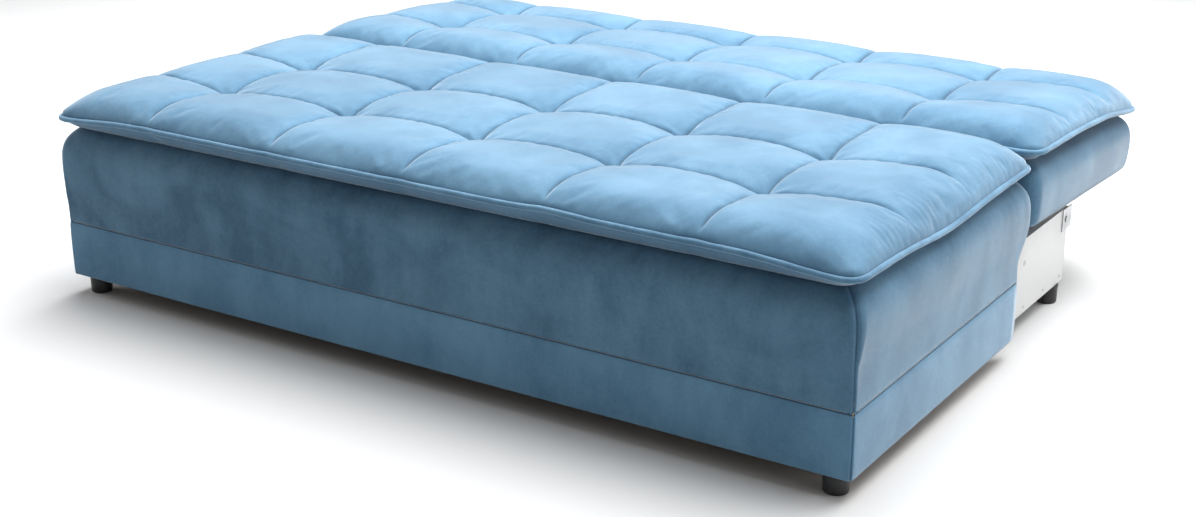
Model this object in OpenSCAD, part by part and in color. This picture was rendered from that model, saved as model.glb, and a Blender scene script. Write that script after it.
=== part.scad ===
// Futon sofa bed in its flat position.
// X runs along the width, the front faces -Y and +Z is up.  The origin is on
// the floor below the middle of the lying surface.
// A seat carriage with a pillow pad rolls over a low bedding box; the backrest
// is hinged to the carriage and lies flat behind it, on two support rollers.

/* [Overall] */
// Width over the pad piping
bed_w = 1900; // [1890:5:1910]
// Length over both pads, front piping to rear piping
bed_l = 1500; // [1495:1:1505]
// Height of the feet
foot_h = 43; // [41:1:45]
// Radius of the feet
foot_r = 24; // [20:1:25]
// Radius of the piping around both pads
piping_r = 6; // [4:0.5:7]

/* [Seat] */
// Width over the upholstered plinth
plinth_w = 1890; // [1886:1:1892]
// Top of the plinth band, where the upper cover is sewn on
plinth_top = 166; // [160:1:180]
// Front face of the plinth
plinth_front = -733; // [-740:1:-728]
// Rear edge of the seat's side boards
seat_rear = 22; // [16:1:24]
// Rear nose of the seat pad
seat_pad_rear = 68; // [64:1:69]
// Height of the middle of the seat piping
seat_nose_z = 401; // [396:1:404]
// Thickness of the boards of the seat carriage
board_t = 18; // [16:1:18]
// Underside of the deck board above the bedding box
deck_z = 220; // [219:1:224]

/* [Backrest] */
// Front nose of the backrest pad, before the backrest is tilted
back_pad_front = 80; // [79:1:84]
// Rear nose of the backrest pad, before the backrest is tilted
back_pad_rear = 749; // [745:1:752]
// Height of the middle of the backrest piping, before the tilt
back_nose_z = 409; // [405:1:412]
// Underside of the backrest, before the tilt
back_bottom = 247; // [245:1:250]
// How far the backrest's rear end drops when it lies flat, in degrees
back_tilt = 2.6; // [2.4:0.1:2.8]
// Rear face of the backrest's upholstered body, before the tilt
back_rear = 743; // [738:1:745]

/* [Bedding box] */
// Outer width of the bedding box
box_w = 1820; // [1816:1:1822]
// Front end of the bedding box
box_front = -288; // [-300:1:-280]
// Rear end of the box's side panels
box_rear = 420; // [416:1:422]
// Top of the side panels
box_top = 213; // [208:1:214]
// Top of the rear panel
rear_panel_top = 180; // [150:1:184]
// Thickness of the box panels
panel_t = 16; // [15:1:16]

/* [Mechanism] */
// Distance of the backrest hinge axis from the origin, along Y
hinge_y = 166; // [165:0.5:168]
// Height of the backrest hinge axis
hinge_z = 375; // [374:0.5:376]
// Half width of the hinge's flat bars
bar_half = 13; // [10:1:13]
// Radius of the hinge bolts
bolt_r = 5; // [4:0.5:6]
// Radius of the nylon wheels that the seat carriage rolls on
wheel_r = 12.5; // [10:0.5:12.5]
// Height of the wheel axles
wheel_z = 110; // [100:1:120]
// Places of the wheels along Y
wheel_ys = [-250, -60];
// Radius of the rollers under the backrest
roller_r = 20; // [18:0.5:20]
// Place of the support roller axle along Y
roller_y = 405; // [402:1:408]
// Height of the support roller axle
roller_z = 187; // [186:0.5:187]

/* [Hidden] */

$fn = 48;
hull_fn = 32;                     // facets of the rounded corners in hulls
skin = 3;                         // thickness of the upholstery skins
band_skin = 2;                    // thickness of the plinth's cover
nose_x = bed_w / 2 - piping_r;    // middle of the piping at both sides
side_x = plinth_w / 2;            // outer face of the plinth
board_out = side_x - band_skin;   // outer face of the side boards
board_in = board_out - board_t;   // inner face of the side boards
box_x = box_w / 2;                // outer face of the box sides
box_in = box_x - panel_t;         // inner face of the box sides
front_in = plinth_front + band_skin + board_t;  // rear face of the front board
body_top = 387;                   // where the seat body meets the pad
back_body_top = 391;              // where the backrest body meets its pad
pad_skirt = 10;                   // how far the pad's underside rises to the nose
deck_t = 18;                      // thickness of the deck board
gap = 0.3;                        // running clearance
slice_t = 0.01;                   // thickness of the slices that shape a block
velvet = [0.36, 0.60, 0.76];
velvet_dark = [0.27, 0.47, 0.62];
steel = [0.55, 0.57, 0.58];
board_white = [0.86, 0.86, 0.85];
timber = [0.78, 0.66, 0.48];

// ---------- helpers ----------

// One thin rounded-rectangle slice: half width, front, rear, height, corner
module slice(half_w, front, rear, z, r) {
    for (x = [-half_w + r, half_w - r], y = [front + r, rear - r])
        translate([x, y, z]) cylinder(h = slice_t, r = r, $fn = hull_fn);
}

// Closed block through a list of slices [half width, front, rear, z, corner].
// The last slice hangs below its height, so the block's top is exactly there.
module sliced_block(slices) {
    last = len(slices) - 1;
    hull() for (i = [0 : last]) {
        s = slices[i];
        slice(s[0], s[1], s[2], s[3] - (i == last ? slice_t : 0), s[4]);
    }
}

// Plain box from two opposite corners
module span(low, high) {
    translate(low) cube(high - low);
}

// Round bar along X between two places
module bar_x(x1, x2, y, z, r) {
    translate([min(x1, x2), y, z]) rotate([0, 90, 0]) cylinder(h = abs(x2 - x1), r = r);
}

// A part of the left side from its right-side twin
module on_side(side) {
    if (side > 0) children(); else mirror([1, 0, 0]) children();
}

// The backrest is drawn level and lies tilted about its hinge axis
module tilted() {
    translate([0, hinge_y, hinge_z]) rotate([-back_tilt, 0, 0])
        translate([0, -hinge_y, -hinge_z]) children();
}

// Closed ring of round cord with the given centre line half sizes
module cord_ring(half_w, front, rear, z, corner_r, r) {
    corners = [[half_w, rear, 0], [-half_w, rear, 90], [-half_w, front, 180],
               [half_w, front, 270]];
    for (c = corners) {
        x = c[0] - sign(c[0]) * corner_r;
        y = c[1] + (c[1] == rear ? -corner_r : corner_r);
        translate([x, y, z]) rotate([0, 0, c[2]])
            rotate_extrude(angle = 90) translate([corner_r, 0]) circle(r = r);
    }
    for (y = [front, rear]) bar_x(-half_w + corner_r, half_w - corner_r, y, z, r);
    for (x = [-half_w, half_w]) translate([x, front + corner_r, z])
        rotate([-90, 0, 0]) cylinder(h = rear - front - 2 * corner_r, r = r);
}

// Pillow pad: underside, nose, rounded shoulder and crown
module pad_block(front, rear, nose_z, base_z) {
    sliced_block([
        [nose_x - 20, front + 26, rear - 26, base_z, 30],
        [nose_x, front + piping_r, rear - piping_r, nose_z - 4, 34],
        [nose_x, front + piping_r, rear - piping_r, nose_z + 5, 34],
        [nose_x - 8, front + 14, rear - 14, nose_z + 24, 40],
        [nose_x - 34, front + 40, rear - 40, nose_z + 46, 60],
        [nose_x - 100, front + 105, rear - 105, nose_z + 60, 80]
    ]);
}

// ---------- bedding box ----------

module box_side() {
    color(board_white) difference() {
        span([box_in, box_front, foot_h], [box_x, box_rear, box_top]);
        bar_x(box_in - 1, box_x + 1, roller_y, roller_z, 4);
    }
}
module box_side_left() { on_side(-1) box_side(); }
module box_side_right() { on_side(1) box_side(); }

// Rear panel, notched at both top corners for the support rollers
module box_rear_panel() {
    notch_z = roller_z - roller_r - 6;
    color(board_white) difference() {
        span([-box_in, box_rear - panel_t, foot_h + 8], [box_in, box_rear, rear_panel_top]);
        for (side = [-1, 1]) on_side(side)
            span([box_in - 36, box_rear - panel_t - 1, notch_z],
                 [box_in + 1, box_rear + 1, rear_panel_top + 1]);
    }
}

module box_back_board() {
    color("white") span([-box_x + 2, box_rear, foot_h + 2], [box_x - 2, box_rear + 3, 160]);
}

module box_front_rail() {
    color(board_white)
        span([-box_in, box_front, foot_h + 8], [box_in, box_front + panel_t, 150]);
}

module box_bottom_board() {
    color(board_white) span([-box_in, box_front, foot_h], [box_in, box_rear, foot_h + 8]);
}

module box_centre_batten() {
    color(timber) span([-25, box_front + panel_t, foot_h - 20],
                       [25, box_rear - panel_t, foot_h]);
}

// Turned foot with a thin flange against the board above it
module foot(x, y) {
    color("black") translate([x, y, 0]) union() {
        cylinder(h = 3, r1 = foot_r - 2, r2 = foot_r);
        translate([0, 0, 3]) cylinder(h = foot_h - 3, r = foot_r);
    }
}
module box_foot_rear_left() { foot(-(box_in - 4), 382); }
module box_foot_rear_right() { foot(box_in - 4, 382); }
module box_foot_front_left() { foot(-(box_in - 4), box_front + 40); }
module box_foot_front_right() { foot(box_in - 4, box_front + 40); }

// Steel corner plate at the box's rear top corner, folded round the rear edge
module support_bracket() {
    plate_t = 2.5;
    color(steel) difference() {
        union() {
            span([box_x, 384, 163], [box_x + plate_t, 438, box_top]);
            span([box_in + 2, box_rear + 3, 163], [box_x, box_rear + 3 + plate_t, 205]);
        }
        bar_x(box_x - 1, box_x + plate_t + 1, roller_y, roller_z, 4);
    }
}
module support_bracket_left() { on_side(-1) support_bracket(); }
module support_bracket_right() { on_side(1) support_bracket(); }

// Riveted axle through the bracket and the side panel
module support_axle() {
    color(steel) {
        bar_x(box_in - 30, box_x + 2.5, roller_y, roller_z, 4);
        bar_x(box_x + 2.5, box_x + 4.2, roller_y, roller_z, 7);
        bar_x(box_in - 31.5, box_in - 29, roller_y, roller_z, 8);
    }
}
module support_axle_left() { on_side(-1) support_axle(); }
module support_axle_right() { on_side(1) support_axle(); }

module support_roller() {
    color([0.2, 0.2, 0.2]) difference() {
        bar_x(box_in - 28, box_in - 10, roller_y, roller_z, roller_r);
        bar_x(box_in - 40, box_x, roller_y, roller_z, 4 + gap);
    }
}
module support_roller_left() { on_side(-1) support_roller(); }
module support_roller_right() { on_side(1) support_roller(); }

// Two stub axles, each with a flange on the box side and a washer outside
module wheel_axles() {
    color(steel) for (y = wheel_ys) {
        bar_x(box_x, box_x + 1.5, y, wheel_z, 9);
        bar_x(box_x + 1.5, box_x + 11, y, wheel_z, 3);
        bar_x(box_x + 11, box_x + 12.5, y, wheel_z, 5);
    }
}
module wheel_axles_left() { on_side(-1) wheel_axles(); }
module wheel_axles_right() { on_side(1) wheel_axles(); }

module wheel(y) {
    color("ivory") difference() {
        bar_x(box_x + 3.5, box_x + 10.5, y, wheel_z, wheel_r);
        bar_x(box_x, box_x + 14, y, wheel_z, 3 + gap);
    }
}
module wheel_front_left() { on_side(-1) wheel(wheel_ys[0]); }
module wheel_front_right() { on_side(1) wheel(wheel_ys[0]); }
module wheel_rear_left() { on_side(-1) wheel(wheel_ys[1]); }
module wheel_rear_right() { on_side(1) wheel(wheel_ys[1]); }

// Screw heads and the cap of the cam fitting on both side panels
module panel_screws() {
    low_screws = [175, 295, 398];
    color(steel) for (side = [-1, 1]) on_side(side) {
        for (y = low_screws) bar_x(box_x, box_x + 0.8, y, foot_h + 14, 2.6);
        bar_x(box_x, box_x + 0.6, 163, 158, 6);
    }
}

// Row of staples that hold the back board to the side panels
module panel_staples() {
    color(steel) for (side = [-1, 1], z = [56 : 17 : 150])
        span([side * (box_x - 6) - 0.6, box_rear + 3, z],
             [side * (box_x - 6) + 0.6, box_rear + 3.7, z + 10]);
}

// ---------- seat carriage ----------

module seat_front_board() {
    color(timber) span([-board_in, plinth_front + band_skin, foot_h],
                       [board_in, front_in, 250]);
}

module seat_side_board() {
    color(timber) span([board_in, plinth_front + band_skin, foot_h],
                       [board_out, seat_rear - band_skin, 250]);
}
module seat_side_board_left() { on_side(-1) seat_side_board(); }
module seat_side_board_right() { on_side(1) seat_side_board(); }

module seat_corner_blocks() {
    color(timber) for (side = [-1, 1]) on_side(side)
        span([board_in - 55, front_in, foot_h], [board_in, front_in + 50, 90]);
}
module seat_foot_left() { foot(-902, -697); }
module seat_foot_right() { foot(902, -697); }

module seat_deck_board() {
    color(timber) span([-board_in, front_in, deck_z],
                       [board_in, seat_rear - band_skin, deck_z + deck_t]);
}

module spring_space() {
    span([-870, -670, deck_z + deck_t], [870, 0, 330]);
}
module seat_spring_unit() { color("gainsboro") spring_space(); }

// Upper body of the seat, drawn in from its fullest height to the neck
module seat_body(inset) {
    sliced_block([
        [949 - inset, -739 + inset, 50 - inset, 250, 26],
        [949 - inset, -741 + inset, seat_pad_rear - 1 - inset, 290, 30],
        [949 - inset, -740 + inset, seat_pad_rear - 2 - inset, 335, 30],
        [926 - inset, -714 + inset, 40 - inset, body_top, 30]
    ]);
}

module seat_foam() {
    color("lightyellow") difference() {
        seat_body(skin);
        span([-board_out - 10, plinth_front - 20, 200],
             [board_out + 10, seat_rear + 60, deck_z + deck_t]);
        spring_space();
        span([-960, plinth_front - 20, 200], [-board_in, seat_rear - band_skin, 250]);
        span([board_in, plinth_front - 20, 200], [960, seat_rear - band_skin, 250]);
        span([-board_in, plinth_front - 20, 200], [board_in, front_in, 250]);
    }
}

// Sewn cover: a skin over the foam and a thin skirt down to the plinth seam
module seat_body_cover() {
    color(velvet) {
        difference() {
            seat_body(0);
            seat_body(skin);
        }
        difference() {
            sliced_block([
                [side_x, plinth_front, seat_rear, plinth_top, 20],
                [949, -739, 50, 250, 26]
            ]);
            span([-board_out, plinth_front + band_skin, 0],
                 [board_out, seat_rear + 80, 260]);
        }
    }
}

module seat_plinth_cover() {
    color(velvet) difference() {
        span([-side_x, plinth_front, foot_h], [side_x, seat_rear - band_skin, plinth_top]);
        span([-board_out, plinth_front + band_skin, 0],
             [board_out, seat_rear + 1, plinth_top + 1]);
    }
}

module seat_piping_ring() {
    cord_ring(nose_x, -bed_l / 2 + piping_r, seat_pad_rear - piping_r,
              seat_nose_z, 34, piping_r);
}
module seat_piping() { color(velvet_dark) seat_piping_ring(); }

module seat_pad() {
    color(velvet) difference() {
        pad_block(-bed_l / 2, seat_pad_rear, seat_nose_z, body_top);
        seat_piping_ring();
    }
}

// C channel on the side board, open towards the box
module runner_channel() {
    half = wheel_r + gap;
    lip = 1.5;
    front = -690;
    rear = 10;
    color(steel) difference() {
        span([box_x + 2.5, front, wheel_z - half - lip],
             [board_in, rear, wheel_z + half + lip]);
        span([box_x, front - 1, wheel_z - half], [board_in - lip, rear + 1, wheel_z + half]);
    }
}
module runner_channel_left() { on_side(-1) runner_channel(); }
module runner_channel_right() { on_side(1) runner_channel(); }

// Flat bar from one place to another, with round ends, as a plate across X
module flat_bar(x1, x2, from, to, half) {
    run = to - from;
    angle = atan2(run[1], run[0]);
    translate([x1, 0, 0]) rotate([90, 0, 90]) linear_extrude(x2 - x1) {
        translate(from) rotate(angle) translate([0, -half]) square([norm(run), 2 * half]);
        translate(from) circle(r = half);
        translate(to) circle(r = half);
    }
}

bracket_x = 844;                  // inner face of the hinge bracket's bar
bracket_t = 6;                    // thickness of that bar
module hinge_bracket() {
    hinge = [hinge_y, hinge_z];
    elbow = [hinge_y + 20, deck_z - bar_half];
    color(steel) difference() {
        union() {
            flat_bar(bracket_x, bracket_x + bracket_t, hinge, elbow, bar_half);
            span([bracket_x, -120, deck_z - 24],
                 [bracket_x + bracket_t, elbow[0], deck_z - 2 * gap]);
            span([bracket_x, -120, deck_z - 3], [bracket_x + 36, 15, deck_z]);
        }
        bar_x(bracket_x - 1, bracket_x + bracket_t + 1, hinge_y, hinge_z, bolt_r + gap);
    }
}
module hinge_bracket_left() { on_side(-1) hinge_bracket(); }
module hinge_bracket_right() { on_side(1) hinge_bracket(); }

// ---------- backrest, drawn level and tilted about the hinge ----------

rail_x = 857;                     // inner face of the backrest's side rails
rail_t = 22;                      // thickness of the backrest's rails
rail_front = 212;                 // front end of the backrest's rails
rail_rear = 715;                  // rear end of the backrest's rails
back_board_z = back_bottom + band_skin;
rail_z = back_board_z + 12;       // top of the board, where the rails stand
rail_top = 330;

module slots() {
    for (side = [-1, 1]) on_side(side)
        span([834, 60, back_bottom - 10], [866, rail_front - 2, back_body_top]);
}

module back_body(inset) {
    sliced_block([
        [936 - inset, 106 + inset, back_rear - 22 - inset, back_bottom, 24],
        [943 - inset, 99 + inset, back_rear - 8 - inset, back_bottom + 9, 30],
        [946 - inset, 96 + inset, back_rear - inset, back_bottom + 36, 34],
        [945 - inset, 96 + inset, back_rear - 5 - inset, 345, 34],
        [926 - inset, 112 + inset, back_rear - 33 - inset, back_body_top, 30]
    ]);
}

module back_board_space() {
    span([-900, rail_front, back_board_z], [900, rail_rear, rail_z]);
}
module side_rail_space(side) {
    on_side(side) span([rail_x, rail_front, rail_z], [rail_x + rail_t, rail_rear, rail_top]);
}
module cross_rail_space(y) {
    span([-rail_x, y, rail_z], [rail_x, y + rail_t, rail_top]);
}
module hinge_plate_blank(side) {
    on_side(side) {
        flat_bar(rail_x - 5, rail_x, [hinge_y, hinge_z], [hinge_y + 100, 300], bar_half);
        span([rail_x - 5, rail_front + rail_t + 1, 285], [rail_x, 360, 315]);
    }
}

module back_board() { color(timber) tilted() back_board_space(); }
// Front cross rail, notched at both ends for the hinge plates
module back_rail_front() {
    color(timber) tilted() difference() {
        cross_rail_space(rail_front);
        for (side = [-1, 1]) on_side(side)
            span([rail_x - 6, rail_front - 1, 284],
                 [rail_x + 1, rail_front + rail_t + 1, rail_top + 1]);
    }
}
module back_rail_rear() { color(timber) tilted() cross_rail_space(rail_rear - rail_t); }
module back_side_rail_left() { color(timber) tilted() side_rail_space(-1); }
module back_side_rail_right() { color(timber) tilted() side_rail_space(1); }

// Solid foam core, cut out for the board, the rails and the hinge hardware
module back_foam() {
    color("lightyellow") tilted() difference() {
        back_body(skin);
        slots();
        span([-960, 0, back_bottom - 20], [960, 800, back_board_z]);
        back_board_space();
        for (side = [-1, 1]) {
            side_rail_space(side);
            on_side(side) span([834, 60, rail_z], [rail_x, 365, back_body_top]);
        }
        for (y = [rail_front, rail_rear - rail_t]) cross_rail_space(y);
    }
}

module back_body_cover() {
    color(velvet) tilted() difference() {
        back_body(0);
        back_body(skin);
        slots();
        span([-900, 120, back_bottom - 5], [900, back_rear - 30, back_board_z]);
    }
}

module back_dust_cover() {
    color([0.15, 0.15, 0.16]) tilted() difference() {
        span([-900, 120, back_bottom], [900, back_rear - 30, back_board_z]);
        slots();
    }
}

module back_piping_ring() {
    cord_ring(nose_x, back_pad_front + piping_r, back_pad_rear - piping_r,
              back_nose_z, 34, piping_r);
}
module back_piping() { color(velvet_dark) tilted() back_piping_ring(); }

module back_pad() {
    color(velvet) tilted() difference() {
        pad_block(back_pad_front, back_pad_rear, back_nose_z, back_body_top);
        back_piping_ring();
    }
}

module hinge_plate(side) {
    color(steel) tilted() difference() {
        hinge_plate_blank(side);
        on_side(side) bar_x(rail_x - 6, rail_x + 1, hinge_y, hinge_z, bolt_r);
    }
}
module hinge_plate_left() { hinge_plate(-1); }
module hinge_plate_right() { hinge_plate(1); }

// Bolt through the bracket and the plate, headed at both ends
module hinge_bolt(side) {
    color(steel) on_side(side) {
        bar_x(bracket_x - 2, rail_x + 2, hinge_y, hinge_z, bolt_r);
        bar_x(bracket_x - 6, bracket_x - 2, hinge_y, hinge_z, 9);
        bar_x(rail_x, rail_x + 5, hinge_y, hinge_z, 9);
    }
}
module hinge_bolt_left() { hinge_bolt(-1); }
module hinge_bolt_right() { hinge_bolt(1); }

// Batten under the backrest that rests on the support roller
module skid_rail(side) {
    color(timber) tilted() on_side(side)
        span([box_in - 28, 320, 218.4], [box_in - 10, 600, back_bottom]);
}
module skid_rail_left() { skid_rail(-1); }
module skid_rail_right() { skid_rail(1); }

box_side_left();
box_side_right();
box_rear_panel();
box_back_board();
box_front_rail();
box_bottom_board();
box_centre_batten();
box_foot_rear_left();
box_foot_rear_right();
box_foot_front_left();
box_foot_front_right();
support_bracket_left();
support_bracket_right();
support_axle_left();
support_axle_right();
support_roller_left();
support_roller_right();
wheel_axles_left();
wheel_axles_right();
wheel_front_left();
wheel_front_right();
wheel_rear_left();
wheel_rear_right();
panel_screws();
panel_staples();
seat_front_board();
seat_side_board_left();
seat_side_board_right();
seat_corner_blocks();
seat_foot_left();
seat_foot_right();
seat_deck_board();
seat_spring_unit();
seat_foam();
seat_body_cover();
seat_plinth_cover();
seat_pad();
seat_piping();
runner_channel_left();
runner_channel_right();
hinge_bracket_left();
hinge_bracket_right();
back_board();
back_rail_front();
back_rail_rear();
back_side_rail_left();
back_side_rail_right();
back_foam();
back_body_cover();
back_dust_cover();
back_pad();
back_piping();
hinge_plate_left();
hinge_plate_right();
hinge_bolt_left();
hinge_bolt_right();
skid_rail_left();
skid_rail_right();
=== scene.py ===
import math

import bmesh
import bpy
from mathutils import Matrix, Vector, noise


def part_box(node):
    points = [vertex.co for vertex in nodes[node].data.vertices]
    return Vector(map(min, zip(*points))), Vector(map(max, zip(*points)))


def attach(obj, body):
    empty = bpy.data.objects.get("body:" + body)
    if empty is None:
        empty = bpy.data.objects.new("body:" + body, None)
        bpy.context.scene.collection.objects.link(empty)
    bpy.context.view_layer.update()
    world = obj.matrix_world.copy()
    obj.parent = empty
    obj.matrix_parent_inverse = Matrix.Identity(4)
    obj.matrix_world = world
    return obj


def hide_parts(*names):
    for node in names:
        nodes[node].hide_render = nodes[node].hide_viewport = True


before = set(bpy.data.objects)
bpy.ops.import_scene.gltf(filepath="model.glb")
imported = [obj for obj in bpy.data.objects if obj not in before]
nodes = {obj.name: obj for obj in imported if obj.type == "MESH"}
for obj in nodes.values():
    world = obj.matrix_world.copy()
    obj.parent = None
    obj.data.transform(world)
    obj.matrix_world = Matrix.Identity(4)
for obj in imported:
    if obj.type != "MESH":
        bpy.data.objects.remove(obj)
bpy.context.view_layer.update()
scene = bpy.context.scene


# ---- Bedding box ----
# A low chest of 16 mm chipboard faced with white melamine, held together with
# cam fittings and screws, its thin white back board stapled on from behind.
# It stands on the floor and the upholstered seat rolls over it.

def new_node(tree, kind, settings=(), inputs=(), **links):
    """Adds a shader node, sets its properties and sockets, and links outputs to its inputs."""
    node = tree.nodes.new(kind)
    for name, value in dict(settings).items():
        setattr(node, name, value)
    for name, value in dict(inputs).items():
        node.inputs[name].default_value = value
    for name, output in links.items():
        tree.links.new(output, node.inputs[name.replace("_", " ")])
    return node


def new_group(name, inputs, outputs):
    """An empty node group, with its input and output nodes."""
    tree = bpy.data.node_groups.new(name, "ShaderNodeTree")
    for label, kind, value in inputs:
        socket = tree.interface.new_socket(label, in_out="INPUT", socket_type=kind)
        if value is not None:
            socket.default_value = value
    for label, kind in outputs:
        tree.interface.new_socket(label, in_out="OUTPUT", socket_type=kind)
    return tree, tree.nodes.new("NodeGroupInput"), tree.nodes.new("NodeGroupOutput")


def new_material(name, constants):
    """A material with one Principled shader, whose even values are set on its sockets."""
    material = bpy.data.materials.new(name)
    material.use_nodes = True
    shader = material.node_tree.nodes["Principled BSDF"]
    for label, value in constants.items():
        shader.inputs[label].default_value = value
    return material, material.node_tree, shader


def object_vector(tree, scale=(1, 1, 1), turn=(0, 0, 0)):
    """Object coordinates, stretched and turned for a pattern."""
    place = new_node(tree, "ShaderNodeTexCoord")
    return new_node(tree, "ShaderNodeMapping", inputs={"Scale": scale, "Rotation": turn},
                    Vector=place.outputs["Object"]).outputs["Vector"]


def noise_value(tree, vector, scale, detail=3.0, roughness=0.55, distortion=0.0):
    """A cloudy value, from one noise texture."""
    return new_node(tree, "ShaderNodeTexNoise",
                    inputs={"Scale": scale, "Detail": detail, "Roughness": roughness,
                            "Distortion": distortion}, Vector=vector).outputs["Fac"]


def mapped(tree, value, low, high, to_low=0.0, to_high=1.0):
    """A value stretched from one span to another and held within it."""
    return new_node(tree, "ShaderNodeMapRange",
                    inputs={"From Min": low, "From Max": high, "To Min": to_low,
                            "To Max": to_high}, Value=value).outputs["Result"]


def mixed(tree, factor, first, second):
    """A colour between two, each a plain colour or another node's output."""
    node = new_node(tree, "ShaderNodeMix", {"data_type": "RGBA"})
    for index, colour in ((6, first), (7, second)):
        if isinstance(colour, tuple):
            node.inputs[index].default_value = (*colour, 1)
        else:
            tree.links.new(colour, node.inputs[index])
    tree.links.new(factor, node.inputs[0])
    return node.outputs[2]


def maths(tree, operation, *terms):
    """A sum or product, whose terms are plain numbers or other nodes' outputs."""
    node = new_node(tree, "ShaderNodeMath", {"operation": operation})
    for index, term in enumerate(terms):
        if isinstance(term, (int, float)):
            node.inputs[index].default_value = term
        else:
            tree.links.new(term, node.inputs[index])
    return node.outputs[0]


def feed(tree, shader, colour, roughness, height, strength, distance):
    """Feeds colour, roughness and a fine relief, distance metres deep, to the shader."""
    tree.links.new(colour, shader.inputs["Base Color"])
    tree.links.new(roughness, shader.inputs["Roughness"])
    bump = new_node(tree, "ShaderNodeBump", inputs={"Strength": strength, "Distance": distance},
                    Height=height)
    tree.links.new(bump.outputs["Normal"], shader.inputs["Normal"])


def make_handling_dust():
    """Cloudy smudges and fine specks, as boards and metal pick up in handling."""
    tree, into, out = new_group(
        "handling dust",
        [("Vector", "NodeSocketVector", None), ("Smudges", "NodeSocketFloat", 6.0),
         ("Specks", "NodeSocketFloat", 500.0)],
        [("Smudge", "NodeSocketFloat"), ("Speck", "NodeSocketFloat")])
    cloud = new_node(tree, "ShaderNodeTexNoise", inputs={"Detail": 4.0},
                     Vector=into.outputs["Vector"], Scale=into.outputs["Smudges"])
    speck = new_node(tree, "ShaderNodeTexNoise", inputs={"Detail": 1.0},
                     Vector=into.outputs["Vector"], Scale=into.outputs["Specks"])
    tree.links.new(mapped(tree, cloud.outputs["Fac"], 0.38, 0.68), out.inputs["Smudge"])
    tree.links.new(mapped(tree, speck.outputs["Fac"], 0.62, 0.75), out.inputs["Speck"])
    return tree


handling_dust = make_handling_dust()


def dusted(tree, vector, smudges, specks):
    """The smudge and speck masks of the shared dust group."""
    node = new_node(tree, "ShaderNodeGroup", {"node_tree": handling_dust},
                    {"Smudges": smudges, "Specks": specks}, Vector=vector)
    return node.outputs["Smudge"], node.outputs["Speck"]


def make_melamine():
    material, tree, shader = new_material("white melamine", {"Specular IOR Level": 0.45})
    place = object_vector(tree)
    smudge, speck = dusted(tree, place, 5.0, 420.0)
    white = mixed(tree, smudge, (0.56, 0.56, 0.555), (0.50, 0.50, 0.49))
    pearl = noise_value(tree, place, 700.0, 2.0)
    feed(tree, shader, mixed(tree, speck, white, (0.44, 0.44, 0.42)),
         mapped(tree, smudge, 0, 1, 0.34, 0.46), pearl, 0.12, 0.0004)
    return material


def make_hardboard():
    """Painted on its outer face, with a faint fibrous grain showing through."""
    material, tree, shader = new_material("white hardboard", {"Specular IOR Level": 0.3})
    place = object_vector(tree)
    smudge, speck = dusted(tree, place, 3.0, 300.0)
    fibre = noise_value(tree, object_vector(tree, (60, 60, 340)), 6.0, 4.0)
    white = mixed(tree, smudge, (0.72, 0.71, 0.68), (0.64, 0.63, 0.60))
    feed(tree, shader, mixed(tree, speck, white, (0.5, 0.47, 0.42)),
         mapped(tree, fibre, 0.3, 0.7, 0.5, 0.66), fibre, 0.2, 0.0006)
    return material


def make_steel():
    """Zinc plated, with its spangle, brushed scratches and dull patches."""
    material, tree, shader = new_material("zinc plated steel", {"Metallic": 1.0})
    place = object_vector(tree)
    smudge, speck = dusted(tree, place, 26.0, 900.0)
    scratch = noise_value(tree, object_vector(tree, (1, 14, 90)), 30.0, 3.0)
    zinc = mixed(tree, smudge, (0.50, 0.51, 0.52), (0.36, 0.37, 0.38))
    feed(tree, shader, mixed(tree, speck, zinc, (0.28, 0.27, 0.25)),
         mapped(tree, scratch, 0.3, 0.7, 0.30, 0.52), scratch, 0.15, 0.0003)
    return material


melamine = make_melamine()
hardboard = make_hardboard()
steel = make_steel()


def finish_nodes(material, *names):
    """Gives CAD nodes that stay their material."""
    for name in names:
        data = nodes[name].data
        data.materials.clear()
        data.materials.append(material)


def both_sides(*names):
    return [f"{name}_{side}" for name in names for side in ("left", "right")]


finish_nodes(melamine, "box_rear_panel", "box_front_rail", "box_bottom_board",
             *both_sides("box_side"))
finish_nodes(hardboard, "box_back_board")
finish_nodes(steel, "panel_screws", "panel_staples")


# ---- Support brackets, rollers and wheels ----
# Folded zinc plates riveted to the box's rear corners, each with a rubber roller
# that the lowered backrest rests on.  Four nylon wheels on stub axles along the
# box carry the seat in steel C channels.

def make_moulded(name, colour, worn, roughness, grain):
    """Moulded plastic or rubber: faint flow marks, a fine grain and paler scuffs."""
    material, tree, shader = new_material(name, {"Specular IOR Level": 0.4})
    place = object_vector(tree)
    smudge, speck = dusted(tree, place, 30.0, grain)
    feed(tree, shader, mixed(tree, smudge, colour, worn),
         mapped(tree, smudge, 0, 1, roughness, roughness + 0.16), speck, 0.25, 0.0003)
    return material


rubber = make_moulded("grey rubber", (0.045, 0.045, 0.045), (0.08, 0.08, 0.078), 0.55, 800.0)
nylon = make_moulded("ivory nylon", (0.70, 0.67, 0.58), (0.60, 0.57, 0.49), 0.38, 600.0)
finish_nodes(steel, *both_sides("support_bracket", "support_axle", "wheel_axles",
                                "runner_channel", "hinge_bracket", "hinge_plate",
                                "hinge_bolt"))
finish_nodes(rubber, *both_sides("support_roller"))
finish_nodes(nylon, *both_sides("wheel_front", "wheel_rear"))


# ---- Feet ----
# Six turned black plastic feet with a moulded ring and a soft lower edge, each
# fixed to the board above with one screw.

foot_plastic = make_moulded("black foot plastic", (0.012, 0.012, 0.013),
                            (0.03, 0.03, 0.031), 0.30, 1200.0)
foot_steps = 48


def as_object(name, shape, material, smooth=True):
    """Turns a finished bmesh into an object with its material."""
    data = bpy.data.meshes.new(name)
    for face in shape.faces:
        face.smooth = smooth
    shape.to_mesh(data)
    shape.free()
    data.materials.append(material)
    piece = bpy.data.objects.new(name, data)
    scene.collection.objects.link(piece)
    return piece


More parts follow.
